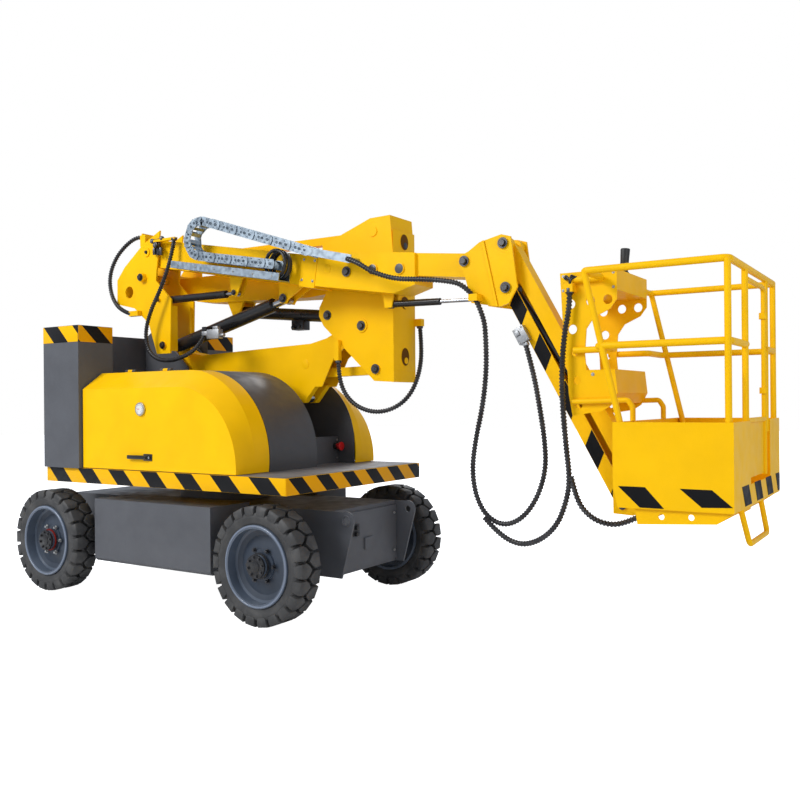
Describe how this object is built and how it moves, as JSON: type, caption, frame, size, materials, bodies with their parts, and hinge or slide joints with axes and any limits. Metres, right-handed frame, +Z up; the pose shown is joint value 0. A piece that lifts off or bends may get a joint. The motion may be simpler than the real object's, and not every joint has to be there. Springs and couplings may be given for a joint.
{
  "type": "articulated boom lift",
  "caption": "Self-propelled articulated boom lift with folding riser, telescopic boom, jib and railed basket.",
  "frame": {"origin": "middle of the stowed machine's footprint box, on the ground", "axes": "+X towards the basket, +Y to the far side of the picture, +Z up"},
  "size_m": [4.7349, 1.382, 2.4227],
  "materials": {
    "yellow_paint": "satin",
    "dark_paint": "satin",
    "rim_paint": "satin",
    "tyre_rubber": "matt",
    "hose_rubber": "matt",
    "black_steel": "satin",
    "rod_chrome": "polished",
    "track_zinc": "galvanised"
  },
  "bodies": {
    "chassis": {"chassis_frame": "dark_paint", "side_boxes": "dark_paint", "end_covers": "dark_paint", "axles": "dark_paint"},
    "steer_near": {"steer_knuckle_near": "dark_paint"},
    "steer_far": {"steer_knuckle_far": "dark_paint"},
    "turret": {"turret_plate": "yellow_paint", "counterweight": "dark_paint", "hood_cover": "dark_paint", "power_pack": "dark_paint", "arm_bracket": "yellow_paint"},
    "near_hood": {"near_hood": "yellow_paint"},
    "far_hood": {"far_hood": "yellow_paint"},
    "lower_arm": {"lower_arm": "yellow_paint"},
    "lower_link": {"lower_link": "yellow_paint"},
    "mid_knuckle": {"mid_knuckle": "yellow_paint", "hose_knuckle": "hose_rubber"},
    "upper_arm": {"upper_arm": "yellow_paint"},
    "upper_link": {"upper_link": "yellow_paint"},
    "rear_knuckle": {"rear_knuckle": "yellow_paint", "hose_rear": "hose_rubber", "hose_lift": "hose_rubber"},
    "boom": {"outer_boom": "yellow_paint", "cable_tray": "track_zinc", "track_lower": "track_zinc"},
    "track_bend": {"track_bend": "track_zinc"},
    "fly": {"fly_boom": "yellow_paint", "track_upper": "track_zinc"},
    "head": {"head": "yellow_paint", "hose_fly": "hose_rubber", "hose_jib": "hose_rubber"},
    "jib": {"jib_boom": "yellow_paint"},
    "jib_link": {"jib_link": "yellow_paint"},
    "basket": {"basket_carrier": "yellow_paint", "basket_panels": "yellow_paint", "basket_frame": "yellow_paint", "console": "yellow_paint", "hose_basket": "hose_rubber", "hose_floor": "hose_rubber"},
    "gate": {"gate": "yellow_paint"},
    "wheel_rear_near": {"tyre_rear_near": "tyre_rubber", "rim_rear_near": "rim_paint"},
    "wheel_rear_far": {"tyre_rear_far": "tyre_rubber", "rim_rear_far": "rim_paint"},
    "wheel_front_near": {"tyre_front_near": "tyre_rubber", "rim_front_near": "rim_paint"},
    "wheel_front_far": {"tyre_front_far": "tyre_rubber", "rim_front_far": "rim_paint"},
    "riser_barrel": {"riser_cylinder_barrel": "black_steel"},
    "riser_rod": {"riser_cylinder_rod": "rod_chrome"},
    "upper_barrel": {"upper_cylinder_barrel": "black_steel"},
    "upper_rod": {"upper_cylinder_rod": "rod_chrome"},
    "lift_barrel": {"lift_cylinder_barrel": "black_steel"},
    "lift_rod": {"lift_cylinder_rod": "rod_chrome"},
    "master_barrel": {"master_cylinder_barrel": "black_steel"},
    "master_rod": {"master_cylinder_rod": "rod_chrome"},
    "slave_barrel": {"slave_cylinder_barrel": "black_steel"},
    "slave_rod": {"slave_cylinder_rod": "rod_chrome"},
    "jib_barrel": {"jib_cylinder_barrel": "black_steel"},
    "jib_rod": {"jib_cylinder_rod": "rod_chrome"}
  },
  "joints": [
    {"name": "rear_near_roll", "type": "hinge", "parent": "chassis", "child": "wheel_rear_near", "pos_m": [-1.989, -0.6085, 0.33], "axis": [0, 1, 0], "continuous": true},
    {"name": "rear_far_roll", "type": "hinge", "parent": "chassis", "child": "wheel_rear_far", "pos_m": [-1.989, 0.6085, 0.33], "axis": [0, 1, 0], "continuous": true},
    {"name": "front_near_roll", "type": "hinge", "parent": "steer_near", "child": "wheel_front_near", "pos_m": [-0.117, -0.6085, 0.33], "axis": [0, 1, 0], "continuous": true},
    {"name": "front_far_roll", "type": "hinge", "parent": "steer_far", "child": "wheel_front_far", "pos_m": [-0.117, 0.6085, 0.33], "axis": [0, 1, 0], "continuous": true},
    {"name": "steer", "type": "hinge", "parent": "chassis", "child": "steer_near", "pos_m": [-0.117, -0.47, 0.33], "axis": [0, 0, 1], "range_deg": [-30, 30]},
    {"name": "steer_far_turn", "type": "hinge", "parent": "chassis", "child": "steer_far", "pos_m": [-0.117, 0.47, 0.33], "axis": [0, 0, 1], "range_deg": [-30, 30]},
    {"name": "turret_slew", "type": "hinge", "parent": "chassis", "child": "turret", "pos_m": [-1.053, 0, 0.664], "axis": [0, 0, 1], "range_deg": [-178, 178]},
    {"name": "near_hood_open", "type": "hinge", "parent": "turret", "child": "near_hood", "pos_m": [-1.053, -0.377, 1.433], "axis": [-1, 0, 0], "range_deg": [0, 75]},
    {"name": "far_hood_open", "type": "hinge", "parent": "turret", "child": "far_hood", "pos_m": [-1.053, 0.437, 1.433], "axis": [1, 0, 0], "range_deg": [0, 75]},
    {"name": "lower_riser_lift", "type": "hinge", "parent": "turret", "child": "lower_arm", "pos_m": [-1.903, 0.245, 1.65], "axis": [0, -1, 0], "range_deg": [0, 60]},
    {"name": "lower_link_turn", "type": "hinge", "parent": "turret", "child": "lower_link", "pos_m": [-1.797, 0.245, 1.38], "axis": [0, -1, 0], "range_deg": [0, 60]},
    {"name": "mid_knuckle_level", "type": "hinge", "parent": "lower_arm", "child": "mid_knuckle", "pos_m": [-0.005, 0.245, 1.689], "axis": [0, -1, 0], "range_deg": [-60, 0]},
    {"name": "upper_riser_lift", "type": "hinge", "parent": "mid_knuckle", "child": "upper_arm", "pos_m": [0.067, 0.245, 2.09], "axis": [0, 1, 0], "range_deg": [0, 65]},
    {"name": "upper_link_turn", "type": "hinge", "parent": "mid_knuckle", "child": "upper_link", "pos_m": [0.087, 0.245, 2.26], "axis": [0, 1, 0], "range_deg": [0, 65]},
    {"name": "rear_knuckle_level", "type": "hinge", "parent": "upper_arm", "child": "rear_knuckle", "pos_m": [-1.729, 0.245, 2.1], "axis": [0, 1, 0], "range_deg": [-65, 0]},
    {"name": "boom_lift", "type": "hinge", "parent": "rear_knuckle", "child": "boom", "pos_m": [-1.693, 0, 2.274], "axis": [0, -1, 0], "range_deg": [0, 75]},
    {"name": "extend", "type": "slide", "parent": "boom", "child": "fly", "axis": [0.9854, 0, -0.1702], "range_m": [0, 0.9]},
    {"name": "track_roll", "type": "slide", "parent": "boom", "child": "track_bend", "axis": [0.9854, 0, -0.1702], "range_m": [0, 0.45]},
    {"name": "head_level", "type": "hinge", "parent": "fly", "child": "head", "pos_m": [0.867, 0, 1.973], "axis": [0, -1, 0], "range_deg": [-75, 0]},
    {"name": "jib_lift", "type": "hinge", "parent": "head", "child": "jib", "pos_m": [1.117, 0, 1.812], "axis": [0, -1, 0], "range_deg": [0, 130]},
    {"name": "jib_link_turn", "type": "hinge", "parent": "head", "child": "jib_link", "pos_m": [1.103, 0, 2.047], "axis": [0, -1, 0], "range_deg": [0, 130]},
    {"name": "basket_level", "type": "hinge", "parent": "jib", "child": "basket", "pos_m": [1.747, 0, 0.7], "axis": [0, -1, 0], "range_deg": [-130, 0]},
    {"name": "gate_open", "type": "hinge", "parent": "basket", "child": "gate", "pos_m": [2.347, 0.226, 1.45], "axis": [0, 0, -1], "range_deg": [0, 90]},
    {"name": "riser_cylinder_swing", "type": "hinge", "parent": "turret", "child": "riser_barrel", "pos_m": [-1.503, 0.245, 0.93], "axis": [0, -1, 0], "range_deg": [0, 53.03]},
    {"name": "riser_cylinder_stroke", "type": "slide", "parent": "riser_barrel", "child": "riser_rod", "axis": [0.9477, 0, 0.3192], "range_m": [0, 0.81639]},
    {"name": "upper_cylinder_swing", "type": "hinge", "parent": "upper_arm", "child": "upper_barrel", "pos_m": [-1.14, 0.245, 1.852], "axis": [0, 1, 0], "range_deg": [0, 5.82]},
    {"name": "upper_cylinder_stroke", "type": "slide", "parent": "upper_barrel", "child": "upper_rod", "axis": [0.9955, 0, -0.0946], "range_m": [0, 0.49097]},
    {"name": "lift_cylinder_swing", "type": "hinge", "parent": "rear_knuckle", "child": "lift_barrel", "pos_m": [-1.53, 0.02, 1.62], "axis": [0, -1, 0], "range_deg": [0, 60.14]},
    {"name": "lift_cylinder_stroke", "type": "slide", "parent": "lift_barrel", "child": "lift_rod", "axis": [0.9695, 0, 0.245], "range_m": [0, 0.76243]},
    {"name": "master_cylinder_swing", "type": "hinge", "parent": "rear_knuckle", "child": "master_barrel", "pos_m": [-1.573, -0.058, 1.935], "axis": [0, -1, 0], "range_deg": [0, 70.28]},
    {"name": "master_cylinder_stroke", "type": "slide", "parent": "master_barrel", "child": "master_rod", "axis": [1, 0, 0], "range_m": [0, 0.43701]},
    {"name": "slave_cylinder_swing", "type": "hinge", "parent": "fly", "child": "slave_barrel", "pos_m": [0.307, 0, 1.788], "axis": [0, -1, 0], "range_deg": [0, 6.75]},
    {"name": "slave_cylinder_stroke", "type": "slide", "parent": "slave_barrel", "child": "slave_rod", "axis": [0.9998, 0, -0.0208], "range_m": [-0.24341, 0]},
    {"name": "jib_cylinder_swing", "type": "hinge", "parent": "head", "child": "jib_barrel", "pos_m": [1.117, 0, 1.812], "axis": [0, -1, 0], "range_deg": [0, 128.11]},
    {"name": "jib_cylinder_stroke", "type": "slide", "parent": "jib_barrel", "child": "jib_rod", "axis": [0.5748, 0, -0.8183], "range_m": [0, 0.42485]}
  ],
  "couplings": [
    {"joint": "steer_far_turn", "follows": "steer", "ratio": 1},
    {"joint": "lower_link_turn", "follows": "lower_riser_lift", "ratio": 1},
    {"joint": "mid_knuckle_level", "follows": "lower_riser_lift", "ratio": -1},
    {"joint": "upper_link_turn", "follows": "upper_riser_lift", "ratio": 1},
    {"joint": "rear_knuckle_level", "follows": "upper_riser_lift", "ratio": -1},
    {"joint": "track_roll", "follows": "extend", "ratio": 0.5},
    {"joint": "head_level", "follows": "boom_lift", "ratio": -1},
    {"joint": "jib_link_turn", "follows": "jib_lift", "ratio": 1},
    {"joint": "basket_level", "follows": "jib_lift", "ratio": -1},
    {"joint": "riser_cylinder_swing", "follows": "lower_riser_lift", "ratio": 0.8836},
    {"joint": "riser_cylinder_stroke", "follows": "lower_riser_lift", "m_per_rad": 0.7794},
    {"joint": "upper_cylinder_swing", "follows": "upper_riser_lift", "ratio": 0.0894},
    {"joint": "upper_cylinder_stroke", "follows": "upper_riser_lift", "m_per_rad": 0.4326},
    {"joint": "lift_cylinder_swing", "follows": "boom_lift", "ratio": 0.8017},
    {"joint": "lift_cylinder_stroke", "follows": "boom_lift", "m_per_rad": 0.5823},
    {"joint": "master_cylinder_swing", "follows": "boom_lift", "ratio": 0.9369},
    {"joint": "master_cylinder_stroke", "follows": "boom_lift", "m_per_rad": 0.3337},
    {"joint": "slave_cylinder_swing", "follows": "boom_lift", "ratio": 0.0899},
    {"joint": "slave_cylinder_stroke", "follows": "boom_lift", "m_per_rad": -0.1858},
    {"joint": "jib_cylinder_swing", "follows": "jib_lift", "ratio": 0.98539},
    {"joint": "jib_cylinder_stroke", "follows": "jib_lift", "m_per_rad": 0.18716}
  ]
}
